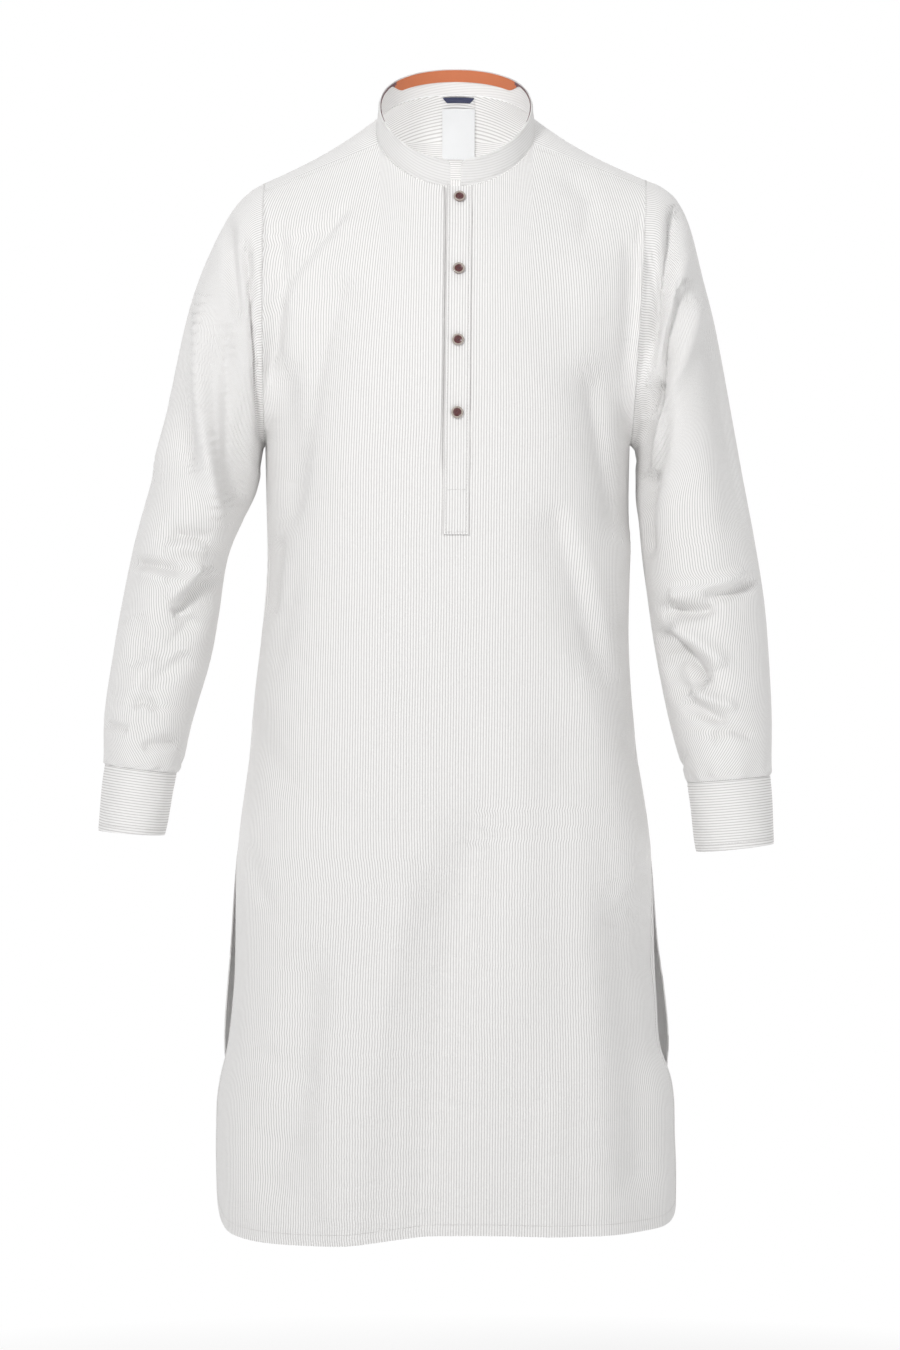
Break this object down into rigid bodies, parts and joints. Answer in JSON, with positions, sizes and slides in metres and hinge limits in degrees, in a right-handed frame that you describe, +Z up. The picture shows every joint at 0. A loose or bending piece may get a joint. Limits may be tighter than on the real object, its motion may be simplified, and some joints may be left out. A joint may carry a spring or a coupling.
{
  "type": "kurta tunic",
  "caption": "Long striped cotton kurta tunic with stand collar, half-length button placket, cuffed long sleeves and side vents, worn shape, empty inside.",
  "frame": {"origin": "middle of the shoulders, between the two sides of the neck, where the wearer holds the garment up", "axes": "+X towards the wearer's left, -Y out of the front, +Z up along the body"},
  "size_m": [0.655, 0.2629, 1.1452],
  "materials": {
    "cotton": "matte",
    "facing": "matte",
    "loop": "matte",
    "label": "satin",
    "button": "satin"
  },
  "bodies": {
    "root": {"front_panel": "cotton", "back_panel": "cotton", "yoke": "cotton", "collar_band": "cotton", "collar_facing": "facing", "placket_top": "cotton", "placket_under": "cotton", "sleeve_left": "cotton", "sleeve_right": "cotton", "sleeve_placket_left": "cotton", "sleeve_placket_right": "cotton", "cuff_left": "cotton", "cuff_right": "cotton", "button_1": "button", "button_2": "button", "button_3": "button", "button_4": "button", "cuff_button_left": "button", "cuff_button_right": "button", "hang_loop": "loop", "neck_label": "label"}
  },
  "joints": []
}
